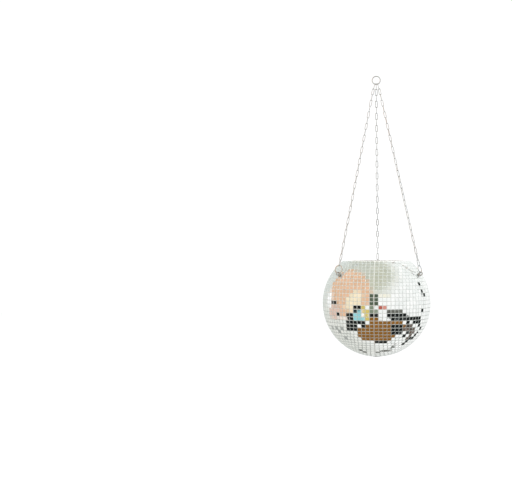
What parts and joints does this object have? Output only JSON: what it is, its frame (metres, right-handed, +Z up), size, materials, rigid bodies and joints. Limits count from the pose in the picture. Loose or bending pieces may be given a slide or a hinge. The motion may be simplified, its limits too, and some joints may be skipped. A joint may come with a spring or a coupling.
{
  "type": "hanging mirror ball",
  "caption": "Hollow mirror ball with its top cut off flat as an open bowl, clad in rows of small square mirror tiles and hung from one ring by three strands of fine chain.",
  "frame": {"origin": "the hanging point: inside the top ring at its highest point, where a hook bears", "axes": "+Z up along the line the ball hangs on, front of the ball towards -Y, +X to the right seen from the front"},
  "size_m": [0.2, 0.2, 0.5245],
  "materials": {
    "mirror_tiles": "silvered glass",
    "shell_plastic": "moulded, fine grain",
    "chain_metal": "nickel plated",
    "fixings": "zinc plated",
    "plug_rubber": "matt"
  },
  "bodies": {
    "ring": {"top_ring": "chain_metal"},
    "first_links": {"first_link_left": "chain_metal", "first_link_back": "chain_metal", "first_link_right": "chain_metal"},
    "second_links": {"second_link_left": "chain_metal", "second_link_back": "chain_metal", "second_link_right": "chain_metal"},
    "ball": {"upper_shell": "shell_plastic", "lower_shell": "shell_plastic", "mirror_row_01": "mirror_tiles", "mirror_row_02": "mirror_tiles", "mirror_row_03": "mirror_tiles", "mirror_row_04": "mirror_tiles", "mirror_row_05": "mirror_tiles", "mirror_row_06": "mirror_tiles", "mirror_row_07": "mirror_tiles", "mirror_row_08": "mirror_tiles", "mirror_row_09": "mirror_tiles", "mirror_row_10": "mirror_tiles", "mirror_row_11": "mirror_tiles", "mirror_row_12": "mirror_tiles", "mirror_row_13": "mirror_tiles", "mirror_row_14": "mirror_tiles", "mirror_row_15": "mirror_tiles", "mirror_row_16": "mirror_tiles", "mirror_row_17": "mirror_tiles", "mirror_row_18": "mirror_tiles", "mirror_row_19": "mirror_tiles", "mirror_row_20": "mirror_tiles", "mirror_row_21": "mirror_tiles", "mirror_row_22": "mirror_tiles", "mirror_row_23": "mirror_tiles", "mirror_row_24": "mirror_tiles", "mirror_row_25": "mirror_tiles", "mirror_row_26": "mirror_tiles", "mirror_row_27": "mirror_tiles", "mirror_row_28": "mirror_tiles", "mirror_row_29": "mirror_tiles", "mirror_row_30": "mirror_tiles", "mirror_row_31": "mirror_tiles", "mirror_row_32": "mirror_tiles", "mirror_row_33": "mirror_tiles", "mirror_row_34": "mirror_tiles", "chain_left": "chain_metal", "chain_back": "chain_metal", "chain_right": "chain_metal", "split_ring_left": "chain_metal", "split_ring_back": "chain_metal", "split_ring_right": "chain_metal", "screw_eye_left": "fixings", "screw_eye_back": "fixings", "screw_eye_right": "fixings", "washer_left": "fixings", "washer_back": "fixings", "washer_right": "fixings", "hex_nut_left": "fixings", "hex_nut_back": "fixings", "hex_nut_right": "fixings"},
    "plug": {"drain_plug": "plug_rubber"}
  },
  "joints": [
    {"name": "side_swing", "type": "hinge", "parent": "ring", "child": "first_links", "pos_m": [0, 0, -0.0065], "axis": [0, 1, 0], "range_deg": [-35, 35]},
    {"name": "front_swing", "type": "hinge", "parent": "first_links", "child": "second_links", "pos_m": [0, 0, -0.0225], "axis": [1, 0, 0], "range_deg": [-35, 35]},
    {"name": "twist", "type": "hinge", "parent": "second_links", "child": "ball", "pos_m": [0, 0, -0.03], "axis": [0, 0, 1], "range_deg": [-90, 90], "stiffness_Nm_per_rad": 0.012, "deforming": ["chain_left", "chain_back", "chain_right"]},
    {"name": "plug_pull", "type": "slide", "parent": "ball", "child": "plug", "axis": [0, 0, -1], "range_m": [0, 0.025]}
  ]
}
